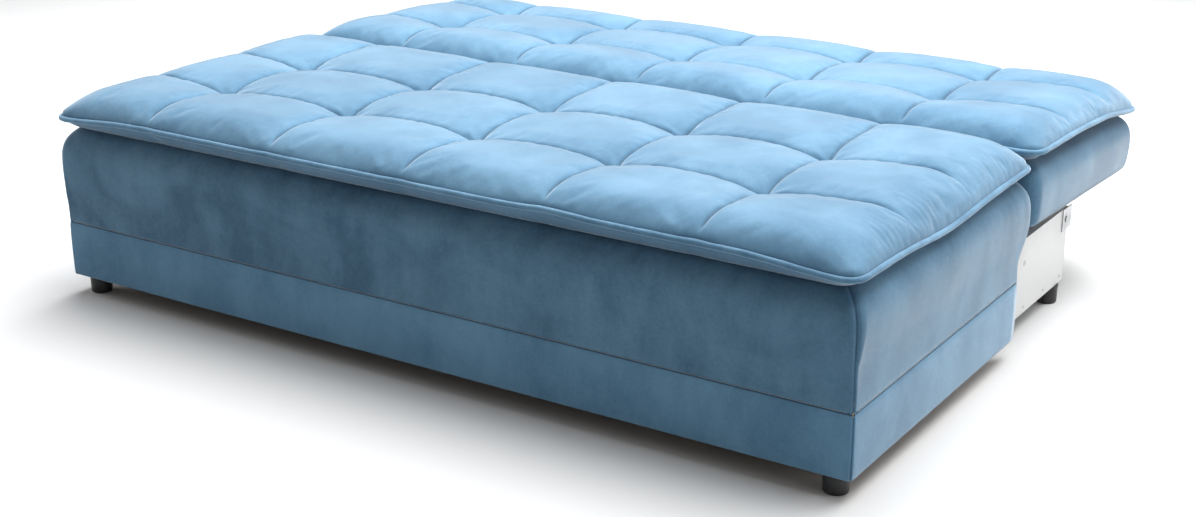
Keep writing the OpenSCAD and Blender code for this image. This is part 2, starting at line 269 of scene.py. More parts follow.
def turned(name, profile, middle, material):
    """Spins a profile of (radius, height) points once round an upright axis."""
    shape = bmesh.new()
    rim = [shape.verts.new((middle.x + r, middle.y, z)) for r, z in profile]
    edges = [shape.edges.new(pair) for pair in zip(rim, rim[1:])]
    bmesh.ops.spin(shape, geom=rim + edges, cent=middle, axis=(0, 0, 1),
                   angle=math.tau, steps=foot_steps, use_merge=True)
    bmesh.ops.remove_doubles(shape, verts=shape.verts, dist=1e-5)
    bmesh.ops.recalc_face_normals(shape, faces=shape.faces)
    return as_object(name, shape, material)


def make_foot(node, body):
    low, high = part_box(node)
    r = (high.x - low.x) / 2
    h = high.z
    profile = [(0, 0), (r * 0.80, 0), (r * 0.90, 0.0008), (r * 0.955, 0.003),
               (r * 0.965, 0.007), (r * 0.975, h * 0.55), (r * 0.975, h - 0.0110),
               (r * 0.955, h - 0.0100), (r * 0.955, h - 0.0085), (r, h - 0.0075),
               (r, h - 0.0006), (r - 0.0008, h), (0, h)]
    foot = turned(node.replace("foot", "turned_foot"), profile,
                  Vector(((low.x + high.x) / 2, (low.y + high.y) / 2, 0)), foot_plastic)
    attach(foot, body)
    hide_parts(node)


for foot_node in both_sides("box_foot_rear", "box_foot_front"):
    make_foot(foot_node, "bedding_box")
for foot_node in both_sides("seat_foot"):
    make_foot(foot_node, "seat_carriage")


# ---- Frame timber ----
# The seat carriage and the backrest are built of raw chipboard and pine rails,
# glued and stapled.  Almost all of it is covered; it shows from below and when
# the backrest is raised.

def make_pine():
    """Sawn pine: long grain along X, darker late wood and a few open pores."""
    material, tree, shader = new_material("sawn pine", {"Specular IOR Level": 0.2})
    long_grain = object_vector(tree, (0.6, 9, 9))
    ring = noise_value(tree, long_grain, 7.0, 5.0, 0.6, 0.8)
    pore = noise_value(tree, object_vector(tree, (3, 60, 60)), 20.0, 2.0)
    wood = mixed(tree, mapped(tree, ring, 0.36, 0.64), (0.62, 0.43, 0.24), (0.44, 0.27, 0.13))
    feed(tree, shader, mixed(tree, mapped(tree, pore, 0.64, 0.74), wood, (0.30, 0.18, 0.09)),
         mapped(tree, pore, 0.3, 0.7, 0.58, 0.78), pore, 0.3, 0.0006)
    return material


def make_chipboard():
    """Raw chipboard: pressed chips a few millimetres long, each its own shade."""
    material, tree, shader = new_material("raw chipboard", {"Specular IOR Level": 0.15})
    chip = new_node(tree, "ShaderNodeTexVoronoi", inputs={"Scale": 170.0, "Randomness": 1.0},
                    Vector=object_vector(tree, (0.6, 1, 1)))
    shade = new_node(tree, "ShaderNodeSeparateColor", Color=chip.outputs["Color"]).outputs[0]
    fine = noise_value(tree, object_vector(tree), 320.0, 3.0)
    chips = mixed(tree, shade, (0.55, 0.42, 0.27), (0.38, 0.26, 0.15))
    feed(tree, shader, mixed(tree, mapped(tree, fine, 0.6, 0.7), chips, (0.24, 0.15, 0.08)),
         mapped(tree, shade, 0, 1, 0.66, 0.84), shade, 0.3, 0.0005)
    return material


pine = make_pine()
chipboard = make_chipboard()
finish_nodes(pine, "box_centre_batten", "seat_corner_blocks", "back_rail_front",
             "back_rail_rear", *both_sides("back_side_rail", "skid_rail"))
finish_nodes(chipboard, "seat_front_board", "seat_deck_board", "back_board",
             *both_sides("seat_side_board"))


# ---- Plinth band ----
# A straight band of the blue velvet round the seat's front and sides, pulled tight
# over the boards and stapled inside, with an upright seam at both front corners.

floor_gap = 0.043
band_top = 0.166
band_height = band_top - floor_gap
hem_width = 0.0045
patch_share = 0.62


def make_velvet_nap():
    """Velvet pile: brushed patches, streaks along the last stroke, and fine fibre ends."""
    tree, into, out = new_group(
        "velvet nap",
        [("Vector", "NodeSocketVector", None), ("Brushed", "NodeSocketColor", (1, 1, 1, 1)),
         ("Unbrushed", "NodeSocketColor", (0, 0, 0, 1)), ("Patch Scale", "NodeSocketFloat", 3.0),
         ("Contrast", "NodeSocketFloat", 0.6)],
        [("Color", "NodeSocketColor"), ("Roughness", "NodeSocketFloat"),
         ("Height", "NodeSocketFloat")])
    patch = new_node(tree, "ShaderNodeTexNoise",
                     inputs={"Detail": 5.0, "Roughness": 0.62, "Distortion": 0.9},
                     Vector=into.outputs["Vector"], Scale=into.outputs["Patch Scale"])
    stretched = new_node(tree, "ShaderNodeMapping",
                         inputs={"Scale": (4.2, 3.4, 1.5), "Rotation": (0.45, 0.55, 0.4)},
                         Vector=into.outputs["Vector"])
    streak = new_node(tree, "ShaderNodeTexNoise",
                      inputs={"Scale": 2.6, "Detail": 4.0, "Roughness": 0.65},
                      Vector=stretched.outputs["Vector"])
    fibre = new_node(tree, "ShaderNodeTexNoise",
                     inputs={"Scale": 750.0, "Detail": 2.0, "Roughness": 0.7},
                     Vector=into.outputs["Vector"])
    coarse = new_node(tree, "ShaderNodeTexNoise",
                      inputs={"Scale": 150.0, "Detail": 3.0, "Roughness": 0.6},
                      Vector=into.outputs["Vector"])
    strokes = maths(tree, "MULTIPLY", streak.outputs["Fac"], 1 - patch_share)
    stroked = maths(tree, "MULTIPLY_ADD", patch.outputs["Fac"], patch_share, strokes)
    speckle = mapped(tree, coarse.outputs["Fac"], 0.3, 0.7, -0.16, 0.16)
    lively = maths(tree, "ADD", mapped(tree, stroked, 0.40, 0.60), speckle)
    eased = maths(tree, "SUBTRACT", lively, 0.5)
    nap = maths(tree, "MULTIPLY_ADD", eased, into.outputs["Contrast"], 0.5)
    colour = mixed(tree, nap, into.outputs["Unbrushed"], into.outputs["Brushed"])
    tree.links.new(colour, out.inputs["Color"])
    tree.links.new(mapped(tree, nap, 0, 1, 0.86, 0.70), out.inputs["Roughness"])
    height = maths(tree, "MULTIPLY_ADD", coarse.outputs["Fac"], 0.45, fibre.outputs["Fac"])
    tree.links.new(height, out.inputs["Height"])
    return tree


velvet_nap = make_velvet_nap()
pile_light = (0.125, 0.252, 0.368)
pile_dark = (0.060, 0.140, 0.225)
# the third pile colour is a near-black blue for painted shade
painted_shade_colour = (0.020, 0.055, 0.095)


def make_velvet(name, patch_scale, contrast, bump_strength, turn=(0, 0, 0), painted_shade=None,
                shade_tone=1.0):
    """Blue velvet.  Where an attribute is named, its mark paints shade on the pile: darker in the
    seams and under the piping.
    The tone scales both pile colours of this copy; on the covers it is a darker copy, painted
    shade on their upright sides."""
    brushed = (*(c * shade_tone for c in pile_light), 1)
    unbrushed = (*(c * shade_tone for c in pile_dark), 1)
    material, tree, shader = new_material(name, {
        "Specular IOR Level": 0.18, "Sheen Weight": 0.85, "Sheen Roughness": 0.32,
        "Sheen Tint": (0.90, 0.95, 1.0, 1)})
    nap = new_node(tree, "ShaderNodeGroup", {"node_tree": velvet_nap},
                   {"Brushed": brushed, "Unbrushed": unbrushed,
                    "Patch Scale": patch_scale, "Contrast": contrast},
                   Vector=object_vector(tree, (1, 1, 1), turn))
    colour = nap.outputs["Color"]
    # painted shade: where the mark is high, the pile colour is darkened towards the near-black
    # blue, as shade in seams and under the piping
    if painted_shade:
        mark = new_node(tree, "ShaderNodeAttribute", {"attribute_name": painted_shade})
        deep = mapped(tree, mark.outputs["Fac"], 0.35, 1.0, 0.0, 0.8)
        colour = mixed(tree, deep, colour, painted_shade_colour)
    feed(tree, shader, colour, nap.outputs["Roughness"], nap.outputs["Height"], bump_strength,
         0.0010)
    return material


# the covers get a darker copy of the pile, painted shade on their upright sides; the band's copy
# is a little paler
body_velvet = make_velvet("blue velvet, covers", 3.0, 0.85, 0.35, (0, 0, 0), "painted_shade", 0.80)
band_velvet = make_velvet("blue velvet, band", 3.6, 0.60, 0.35, (0, 0, 0.3), "painted_shade", 1.05)
corner_steps = 10


def outline(half, front, rear, corner, side_steps, front_steps):
    """Points round a rounded rectangle, always as many: right side first, then clockwise
    seen from above, round the front and the left side to the rear."""
    spots = []

    def arc(x, y, start):
        for i in range(corner_steps + 1):
            a = start - math.pi / 2 * i / corner_steps
            spots.append((x + corner * math.cos(a), y + corner * math.sin(a)))

    def line(x1, y1, x2, y2, steps):
        for i in range(1, steps):
            spots.append((x1 + (x2 - x1) * i / steps, y1 + (y2 - y1) * i / steps))

    inner_x = half - corner
    inner_front = front + corner
    inner_rear = rear - corner
    arc(inner_x, inner_rear, math.pi / 2)
    line(half, inner_rear, half, inner_front, side_steps)
    arc(inner_x, inner_front, 0)
    line(inner_x, front, -inner_x, front, front_steps)
    arc(-inner_x, inner_front, -math.pi / 2)
    line(-half, inner_front, -half, inner_rear, side_steps)
    arc(-inner_x, inner_rear, math.pi)
    line(-inner_x, rear, inner_x, rear, front_steps)
    return spots


def neighbours(ring, closed=True):
    """Each vertex of a row with the next one, and in a ring the last with the first."""
    return zip(ring, ring[1:] + ring[:1] if closed else ring[1:])


def next_ring(shape, ring, places, closed=True):
    """Extrudes a row and sets its copy in place, in the same order.  The first row,
    made where ring is None, is new."""
    if ring is None:
        ring = [shape.verts.new(place) for place in places]
        for pair in neighbours(ring, closed):
            shape.edges.new(pair)
        return ring
    edges = [shape.edges.get(pair) for pair in neighbours(ring, closed)]
    made = bmesh.ops.extrude_edge_only(shape, edges=edges)["geom"]
    fresh = {v for v in made if isinstance(v, bmesh.types.BMVert)}
    twins = [next(e.other_vert(v) for e in v.link_edges if e.other_vert(v) in fresh)
             for v in ring]
    for twin, place in zip(twins, places):
        twin.co = place
    return twins


def wobble(x, y, z, size, amount):
    """A soft uneven offset that is the same on every run."""
    return amount * noise.noise(Vector((x / size, y / size, z / size)))


def bell(value, width):
    return math.exp(-(value / width) ** 2)


def corner_seam(x, y, half, front, corner, width):
    """1 on the upright seam in the middle of a rounded front corner, falling to 0."""
    across, along = half - abs(x), y - front
    beyond = max(across, along, corner) - corner
    return bell((across - along) * 0.7, width) * bell(beyond, width)


def make_plinth_band():
    half, front, rear, corner = 0.9466, -0.7349, 0.0222, 0.007
    seam_width = 0.0022
    bend = 0.001
    inner = half - 0.0205
    # at the rear of each side the band is wrapped round the board's end
    wrap = [(inner, rear - 0.012), (inner, rear - bend), (inner + bend, rear),
            (half - bend, rear), (half, rear - bend)]
    path = [p for p in outline(half, front, rear, corner, 60, 150) if p[1] < rear - corner]
    path = wrap + path + [(-x, y) for x, y in reversed(wrap)]
    shape = bmesh.new()
    painted_shade_layer = shape.verts.layers.float.new("painted_shade")
    ring = None
    for h in (0.0, 0.0012, 0.004, 0.012, 0.03, 0.05, 0.07, 0.09, 0.105, 0.114, 0.119, 0.1225):
        z = floor_gap + h
        draw_in = 0.0022 * bell(z - band_top, hem_width) + 0.0012 * bell(h, 0.003)
        row = []
        for x, y in path:
            seam = 0.0015 * corner_seam(x, y, half, front, corner, seam_width)
            swell = 0.0008 * math.sin(math.pi * h / band_height) + wobble(x, y, z, 0.11, 0.0005)
            out = Vector((x / half if abs(x) > half - 0.004 else 0,
                          -1 if y < front + 0.004 else 0, 0))
            row.append(Vector((x, y, z)) + out * (swell - draw_in - seam))
        ring = next_ring(shape, ring, row, False)
        # painted shade: the band darkens along its top seam, under the seat body, and in its
        # corner seams
        for v in ring:
            at_corner = corner_seam(v.co.x, v.co.y, half, front, corner, seam_width)
            v[painted_shade_layer] = max(bell(z - band_top, 0.0030), at_corner)
    bmesh.ops.recalc_face_normals(shape, faces=shape.faces)
    band = as_object("plinth_band", shape, band_velvet)
    thick = band.modifiers.new("Cloth thickness", "SOLIDIFY")
    thick.thickness = 0.0015
    thick.offset = -1
    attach(band, "seat_carriage")
    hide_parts("seat_plinth_cover")


make_plinth_band()


# ---- Seat body ----
# Foam over a spring unit, upholstered in one sewn velvet cover: drawn in under the
# pad, full at mid height, tapering to the seam with the plinth band, with a seam up
# each front corner.  Its lower edge is turned in and stapled.

def between(rows, z):
    """Smoothly reads a short table of rows, each starting with its height."""
    last = len(rows) - 1
    i = max(k for k in range(last) if rows[k][0] <= z or k == 0)
    low, high = rows[i], rows[i + 1]
    before, after = rows[max(i - 1, 0)], rows[min(i + 2, last)]
    span = high[0] - low[0]
    t = min(max((z - low[0]) / span, 0), 1)
    values = []
    for k in range(1, len(low)):
        rise_low = (high[k] - before[k]) / (high[0] - before[0]) * span
        rise_high = (after[k] - low[k]) / (after[0] - low[0]) * span
        values.append((2 * t ** 3 - 3 * t * t + 1) * low[k] + (t ** 3 - 2 * t * t + t) * rise_low
                      + (3 * t * t - 2 * t ** 3) * high[k] + (t ** 3 - t * t) * rise_high)
    return values


def body_push(x, y, z, half, front, corner, depth, ease):
    """How far the cover stands out at a point: soft swells, less the corner seams."""
    push = wobble(x, y, z, 0.30, 0.0022) + wobble(x, y, z, 0.10, 0.0011)
    push += depth * 0.6 * corner_seam(x, y, half, front, corner, 0.013)
    return push * ease - depth * 1.6 * corner_seam(x, y, half, front, corner, 0.0028)


def outward(x, y, half, front, corner, behind):
    """The level direction that the cover faces at a point of its outline."""
    lean = Vector((x / half if abs(x) > half - corner else 0,
                   -1 if y < front + corner else (1 if behind else 0), 0))
    return lean.normalized() if lean.length > 1 else lean


def make_seat_body():
    # height, half width, front, rear and corner radius
    girth = [(0.166, 0.9466, -0.7350, 0.0270, 0.008), (0.182, 0.9462, -0.7348, 0.0245, 0.009),
             (0.210, 0.9464, -0.7357, 0.0240, 0.009), (0.230, 0.9470, -0.7377, 0.0370, 0.010),
             (0.250, 0.9478, -0.7392, 0.0540, 0.012), (0.274, 0.9505, -0.7415, 0.0655, 0.020),
             (0.305, 0.9530, -0.7430, 0.0672, 0.028), (0.332, 0.9510, -0.7415, 0.0652, 0.030),
             (0.352, 0.9440, -0.7345, 0.0570, 0.030), (0.369, 0.9300, -0.7210, 0.0440, 0.030),
             (0.379, 0.9150, -0.7070, 0.0330, 0.030), (0.384, 0.8950, -0.6880, 0.0180, 0.030)]
    deck_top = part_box("seat_deck_board")[1].z
    top = girth[-1][0]
    board_inside = 0.9225
    centre_y, half_width, half_length = -0.33, 0.9, 0.36
    tuck_y = -0.3
    shape = bmesh.new()
    painted_shade_layer = shape.verts.layers.float.new("painted_shade")
    ring = None
    levels = 40
    # level -1 is the lower edge, which is turned in
    for level in range(-1, levels + 1):
        t = max(level, 0) / levels
        girth_now = between(girth, band_top + t * (top - band_top))
        row = []
        for x, y in outline(*girth_now, 70, 190):
            # between the side boards the cover ends on the deck
            behind = y > girth_now[2] - 0.0006 and abs(x) < board_inside
            low = deck_top + 0.012 if behind else band_top
            z = low + t * (top - low)
            half, front, rear, corner = between(girth, z)
            if behind:
                y = rear
            lean = outward(x, y, half, front, corner, behind)
            ease = min(1, (z - low) / 0.07) if level > 0 else 0
            depth = 0.0030 * min(1, 0.3 + max(0, (z - 0.255) / 0.035))
            push = body_push(x, y, z, half, front, corner, depth, ease)
            if not behind:
                push -= 0.0016 * bell(z - band_top, hem_width)
            place = Vector((x, y, z)) + lean * push
            if level < 0:
                place -= Vector((x, y - tuck_y, 0)).normalized() * (0.03 if behind else 0.003)
                place.z = deck_top + 0.001 if behind else band_top + 0.0005
            row.append(place)
        ring = next_ring(shape, ring, row)
        half, front, rear, corner = girth_now
        # painted shade: the cover darkens along its lower seam and in its corner seams
        for v in ring:
            at_corner = corner_seam(v.co.x, v.co.y, half, front, corner, 0.0026)
            v[painted_shade_layer] = max(bell(v.co.z - band_top, hem_width), at_corner)
    for inset in (0.03, 0.12):
        row = [Vector((v.co.x * (1 - inset / half_width),
                       v.co.y - inset * (v.co.y - centre_y) / half_length, top + 0.0005))
               for v in ring]
        ring = next_ring(shape, ring, row)
    shape.faces.new(ring)
    bmesh.ops.recalc_face_normals(shape, faces=shape.faces)
    body = as_object("seat_body", shape, body_velvet)
    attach(body, "seat_carriage")
    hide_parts("seat_body_cover", "seat_foam", "seat_spring_unit")


make_seat_body()


# ---- Seat pad ----
# A pillow-top pad of soft foam under velvet, quilted in 18 fields and pulled down
# with thread at ten tufts.  The pull gathers the cloth into short pleats.  The
# sides are a slanting strip that is sewn on under the piping.

nose = 0.944
seat_front, seat_back = -0.744, 0.0605
tuft_columns = [-0.669, -0.333, 0.0, 0.323, 0.643]
seat_rows = [-0.495, -0.242]
pad_corner = 0.034
shoulder_run = 0.105
channel_depth, channel_reach = 0.0058, 0.018
tuft_depth, tuft_reach = 0.0250, 0.050
groove_depth, groove_width = 0.0042, 0.0042


def ramp(value, low, high):
    """0 below low, 1 above high, and a soft step between."""
    t = min(max((value - low) / (high - low), 0), 1)
    return t * t * (3 - 2 * t)


def seat_nose(x, y):
    """Height of the seat's piping: full in front, sagging along the sides."""
    level = 0.4040
    level += 0.0125 * (1 - ramp(abs(x), 0.70, 0.93)) * bell(y - seat_front, 0.20)
    level += 0.0040 * bell(x - 0.345, 0.07) * bell(y - seat_front, 0.10)
    level -= 0.0125 * ramp(abs(x), 0.82, 0.93) * bell(y + 0.365, 0.16)
    level -= 0.0060 * ramp(abs(x), 0.82, 0.93) * ramp(y, -0.55, -0.1)
    return level


def grid_lines(first, last, stops, step):
    """Places from first to last, closer together at both ends and at every stop."""
    near = (0.0035, 0.0085, 0.0150)
    marks = [first, *stops, last]
    places = [first]
    for a, b in zip(marks, marks[1:]):
        inner = b - a - 2 * near[-1]
        count = max(1, round(inner / step))
        places += [a + n for n in near]
        places += [a + near[-1] + inner * i / count for i in range(1, count)]
        places += [b - n for n in reversed(near)] + [b]
    return places


def rounded_in(x, y, front, back):
    """Moves a point near a square corner onto the rounded one."""
    qx = abs(x) - (nose - pad_corner)
    middle = (front + back) / 2
    qy = abs(y - middle) - ((back - front) / 2 - pad_corner)
    if qx <= 0 or qy <= 0:
        return x, y
    pull = max(qx, qy) / math.hypot(qx, qy)
    return (math.copysign(nose - pad_corner + qx * pull, x),
            middle + math.copysign((back - front) / 2 - pad_corner + qy * pull, y - middle))


def nearest(value, lines):
    """How far a place is from the nearest of several lines."""
    return min(abs(value - line) for line in lines)


def quilt_height(x, y, front, back, rows, crest, nose_height):
    """Height of the quilted top: rounded shoulders, soft channels and deep tufts."""
    edge_x = max(nose - abs(x), 0)
    edge_y = max(min(y - front, back - y), 0)
    rise = 1.0
    for edge in (edge_x, edge_y):
        t = min(edge / shoulder_run, 1)
        rise *= math.sqrt(1 - (1 - t) ** 2)
    fullness = 1.0
    for near in (nearest(x, tuft_columns), nearest(y, rows)):
        fullness *= 1 - math.exp(-near / channel_reach)
    low = nose_height(x, y)
    z = low + (crest - low) * rise - channel_depth * (1 - fullness) * rise
    for c in tuft_columns:
        for r in rows:
            away = math.hypot((x - c) * 0.85, y - r)
            if away < 0.2:
                z -= tuft_depth * math.exp(-(away / tuft_reach) ** 1.25)
    return z + wobble(x, y, 0, 0.21, 0.0016) * rise


def quilt_detail(x, y, front, back, rows):
    """Fine relief added after the pad is inflated: sewn grooves, pleats and puckers, with a mask
    of painted shade along the sewn grooves.
    """
    dip = 0.0
    painted_shade = 0.0
    edge_x = nose - abs(x)
    edge_y = min(y - front, back - y)
    row_end = ramp(edge_x, 0.022, 0.075)
    column_end = ramp(edge_y, 0.004, 0.03)
    for near, strength in ((nearest(x, tuft_columns), column_end), (nearest(y, rows), row_end)):
        groove = bell(near, groove_width) * strength
        dip += groove_depth * groove
        # painted shade follows the sewn grooves
        painted_shade = max(painted_shade, groove)
    for i, c in enumerate(tuft_columns):
        for j, r in enumerate(rows):
            away = math.hypot(x - c, y - r)
            if 0.001 < away < 0.09:
                turn = math.atan2(y - r, x - c)
                phase = 1.7 * i + 2.9 * j
                fan = math.cos(7 * turn + phase) + 0.6 * math.cos(11 * turn - 2 * phase)
                dip += 0.0014 * fan * bell(away - 0.026, 0.020)
    gather = bell(edge_x, 0.050) * ramp(edge_x, 0.002, 0.014) * ramp(edge_y, 0.02, 0.06)
    pucker = math.sin(y / 0.0027 + 3 * wobble(x, y, 1, 0.05, 1)) * (0.5 + wobble(x, y, 2, 0.09, 1))
    dip += 0.0013 * gather * pucker
    dip += 0.0017 * bell(edge_x - 0.017, 0.0045) * ramp(edge_y, 0.03, 0.08)
    gather = bell(edge_y, 0.035) * ramp(edge_y, 0.002, 0.012) * ramp(edge_x, 0.05, 0.1)
    pucker = math.sin(x / 0.0045 + 3 * wobble(x, y, 3, 0.07, 1))
    dip += 0.0005 * gather * pucker
    return dip, painted_shade


def seam_pull(x, y, front, back):
    """How far the piping is drawn in where a column seam meets it."""
    edge_y = min(y - front, back - y)
    return 0.0026 * bell(nearest(x, tuft_columns), 0.022) * bell(edge_y, 0.03)


def inflate(sheet, held, pressure, growth, reach):
    """Blows the quilted sheet up with a cloth simulation, its seams held by the thread.
    No point moves further than reach."""
    group = sheet.vertex_groups.new(name="held")
    for index, weight in held.items():
        group.add([index], weight, "REPLACE")
    cloth = sheet.modifiers.new("Puffing", "CLOTH")
    cloth.settings.quality = 5
    cloth.settings.mass = 0.25
    cloth.settings.tension_stiffness = 12
    cloth.settings.compression_stiffness = 12
    cloth.settings.shear_stiffness = 4
    cloth.settings.bending_stiffness = 0.25
    cloth.settings.use_pressure = True
    cloth.settings.uniform_pressure_force = pressure
    cloth.settings.shrink_min = -growth
    cloth.settings.effector_weights.gravity = 0
    cloth.settings.vertex_group_mass = "held"
    cloth.collision_settings.use_collision = False
    for step in range(1, 21):
        scene.frame_set(step)
    blown = sheet.evaluated_get(bpy.context.evaluated_depsgraph_get()).data
    for vertex, target in zip(sheet.data.vertices, blown.vertices):
        move = target.co - vertex.co
        if move.length > reach:
            move *= reach / move.length
        vertex.co += move
    sheet.modifiers.remove(cloth)
    sheet.vertex_groups.remove(group)
    scene.frame_set(1)


def make_pad_top(name, front, back, rows, crest, nose_height, material):
    """The quilted top sheet, blown up and detailed, as an object still open below."""
    columns = grid_lines(-nose, nose, tuft_columns, 0.0085)
    depths = grid_lines(front, back, rows, 0.0082)
    shape = bmesh.new()
    nx, ny = len(columns) - 1, len(depths) - 1
    bmesh.ops.create_grid(shape, x_segments=nx, y_segments=ny, size=1)
    held = {}
    shape.verts.ensure_lookup_table()
    for v in shape.verts:
        i = round((v.co.x + 1) / 2 * nx)
        j = round((v.co.y + 1) / 2 * ny)
        x, y = rounded_in(columns[i], depths[j], front, back)
        z = quilt_height(x, y, front, back, rows, crest, nose_height)
        if i in (0, nx) or j in (0, ny):
            z = nose_height(x, y)
            held[v.index] = 1.0
        elif columns[i] in tuft_columns or depths[j] in rows:
            held[v.index] = 1.0
        draw = seam_pull(x, y, front, back)
        y += draw if y < (front + back) / 2 else -draw
        v.co = (x, y, z)
    sheet = as_object(name, shape, material)
    inflate(sheet, held, 1.5, 0.007, 0.0045)
    return sheet


def close_pad(sheet, front, back, rows, neck_height):
    """Adds the sewn detail, the slanting side strip and the underside, with painted shade in the
    sewn grooves and on the strip.
    """
    shape = bmesh.new()
    shape.from_mesh(sheet.data)
    shape.normal_update()
    painted_shade_layer = shape.verts.layers.float.new("painted_shade")
    for v in shape.verts:
        if v.is_boundary:
            continue
        dip, painted_shade = quilt_detail(v.co.x, v.co.y, front, back, rows)
        v.co -= v.normal * dip
        # painted shade along the sewn grooves
        v[painted_shade_layer] = painted_shade
    ring = boundary_ring(shape)
    middle = (front + back) / 2
    half_depth = (back - front) / 2
    edge = [v.co.copy() for v in ring]
    # how far in each row of the strip lies, and how far down towards the neck
    for inset, share in ((0.0035, 0.16), (0.011, 0.45), (0.019, 0.75), (0.027, 1.0), (0.040, 1.0)):
        scale_x = 1 - inset / nose
        scale_y = 1 - inset / half_depth
        row = []
        for place in edge:
            start = place.z - 0.004
            row.append(Vector((place.x * scale_x, middle + (place.y - middle) * scale_y,
                               start - share * (start - neck_height))))
        ring = next_ring(shape, ring, row)
        # painted shade on the strip, darker towards the neck, under the piping
        for v in ring:
            v[painted_shade_layer] = 0.35 + 0.5 * share
    row = [Vector((v.co.x * 0.93, middle + (v.co.y - middle) * 0.86, neck_height + 0.0085))
           for v in ring]
    ring = next_ring(shape, ring, row)
    underside = shape.faces.new(ring)
    bmesh.ops.triangulate(shape, faces=[underside], ngon_method="BEAUTY")
    bmesh.ops.recalc_face_normals(shape, faces=shape.faces)
    for face in shape.faces:
        face.smooth = True
    shape.to_mesh(sheet.data)
    shape.free()
    fine = sheet.modifiers.new("Fine cloth", "SUBSURF")
    fine.levels = 1
    fine.render_levels = 1
    return edge


def boundary_ring(shape):
    """The vertices of an open sheet's edge, in order."""
    start = next(v for v in shape.verts if v.is_boundary)
    ring = [start]
    seen = {start}
    while True:
        step = next((e.other_vert(ring[-1]) for e in ring[-1].link_edges
                     if e.is_boundary and e.other_vert(ring[-1]) not in seen), None)
        if step is None:
            return ring
        ring.append(step)
        seen.add(step)


pad_velvet = make_velvet("blue velvet, pads", 2.6, 0.55, 0.30, (0, 0, 0.5), "painted_shade")
seat_pad = make_pad_top("seat_pillow_pad", seat_front, seat_back, seat_rows, 0.4610, seat_nose,
                        pad_velvet)
seat_edge = close_pad(seat_pad, seat_front, seat_back, seat_rows, 0.3795)
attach(seat_pad, "seat_carriage")
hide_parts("seat_pad")


# ---- Seat piping ----
# A cord wrapped in the same velvet and sewn between the pad's top and its side
# strip.  It follows the edge's waves and is drawn in where the seams end.

piping_velvet = make_velvet("blue velvet, piping", 9.0, 0.7, 0.30)
piping_radius = 0.0058


def make_piping(name, path, radius):
    """A closed cord along a ring of places."""
    sides = 10
    count = len(path)
    shape = bmesh.new()
    ring = None
    first = None
    for i, place in enumerate(path):
        ahead = (path[(i + 1) % count] - path[i - 1]).normalized()
        out = ahead.cross(Vector((0, 0, 1))).normalized()
        up = out.cross(ahead)
        thick = radius * (1 + wobble(place.x, place.y, place.z, 0.03, 0.10))
        row = [place + thick * (out * math.cos(math.tau * k / sides)
                                + up * math.sin(math.tau * k / sides)) for k in range(sides)]
        ring = next_ring(shape, ring, row)
        first = first or ring
    ends = [shape.edges.get(pair) for one in (first, ring) for pair in neighbours(one)]
    bmesh.ops.bridge_loops(shape, edges=ends)
    bmesh.ops.recalc_face_normals(shape, faces=shape.faces)
    return as_object(name, shape, piping_velvet)


def piping_path(edge, front, back):
    """The pad's edge, pushed out and down so the cord covers the seam."""
    middle = Vector((0, (front + back) / 2, 0))
    count = len(edge)
    path = []
    for i, place in enumerate(edge):
        near = (edge[i - 1] + place * 2 + edge[(i + 1) % count]) / 4
        ahead = edge[(i + 1) % count] - edge[i - 1]
        out = ahead.cross(Vector((0, 0, 1))).normalized()
        if out.dot(near - middle) < 0:
            out = -out
        path.append(near + out * 0.0008 - Vector((0, 0, 0.0012)))
    return path


seat_piping = make_piping("seat_edge_piping", piping_path(seat_edge, seat_front, seat_back),
                          piping_radius)
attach(seat_piping, "seat_carriage")
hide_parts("seat_piping")


# ---- Backrest body ----
# A foam block on a chipboard and pine frame, in a velvet cover that is pulled round
# it and stapled below.  Drawn level here, then tilted as it lies: its rear end
# rests a little lower on the rollers.  Slots leave room for the hinge bars.

hinge_y, hinge_z = 0.166, 0.375
back_tilt = math.radians(-2.6)
tilt = (Matrix.Translation((0, hinge_y, hinge_z)) @ Matrix.Rotation(back_tilt, 4, "X")
        @ Matrix.Translation((0, -hinge_y, -hinge_z)))
slot_inner, slot_outer, slot_rear = 0.834, 0.866, 0.210


